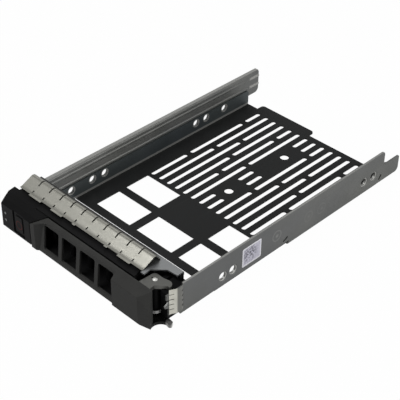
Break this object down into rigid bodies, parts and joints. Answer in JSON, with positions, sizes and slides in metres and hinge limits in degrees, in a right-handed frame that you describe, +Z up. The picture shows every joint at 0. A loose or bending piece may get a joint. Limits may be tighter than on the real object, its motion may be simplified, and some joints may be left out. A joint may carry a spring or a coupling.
{
  "type": "hot swap drive caddy",
  "caption": "Sheet metal drive tray with a slotted floor, side rails, a vented plastic front, a swing-out lever with release button, sprung earthing fingers and light pipes",
  "frame": {"origin": "Bottom centre of the bounding box, on the underside of the rail flanges", "axes": "+X towards the lever's hinge, +Y towards the rear of the tray, +Z up"},
  "size_m": [0.1147, 0.1855, 0.0262],
  "materials": {
    "black_coated_steel": "satin black coating",
    "galvanised_steel": "matt galvanised with fine rolling grain",
    "bright_steel": "bright rolled sheet",
    "tin_plate": "soft tin plate",
    "zinc_steel": "zinc plate",
    "spring_steel": "drawn wire",
    "cast_metal": "tumbled cast metal",
    "black_plastic": "fine moulded texture",
    "button_plastic": "fine moulded texture with a dull red ring",
    "grey_plastic": "fine moulded texture",
    "clear_plastic": "clear moulded",
    "label_paper": "pale plain label"
  },
  "bodies": {
    "tray": {"floor_plate": "black_coated_steel", "left_drive_guide": "galvanised_steel", "right_drive_guide": "galvanised_steel", "left_rail": "galvanised_steel", "right_rail": "galvanised_steel", "bezel_housing": "black_plastic", "front_bracket": "bright_steel", "bracket_screws": "zinc_steel", "rail_screws": "zinc_steel", "top_finger_strip": "tin_plate", "side_finger_strip": "tin_plate", "lever_pivot_pin": "zinc_steel", "lever_torsion_spring": "spring_steel", "button_spring": "spring_steel", "light_pipe_lower": "clear_plastic", "light_pipe_upper": "clear_plastic", "light_pipe_clips": "black_plastic", "label_sticker": "label_paper"},
    "lever": {"lever_handle": "grey_plastic", "lever_hinge_arm": "cast_metal", "arm_rivets": "zinc_steel"},
    "button": {"release_button": "button_plastic"}
  },
  "joints": [
    {"name": "lever_hinge", "type": "hinge", "parent": "tray", "child": "lever", "pos_m": [0.04485, -0.08145, 0.0106], "axis": [0, 0, 1], "range_deg": [0, 28]},
    {"name": "button_slide", "type": "slide", "parent": "tray", "child": "button", "axis": [0, 1, 0], "range_m": [0, 0.002], "stiffness_N_per_m": 250, "springref_m": -0.0005, "deforming": ["button_spring"]}
  ]
}
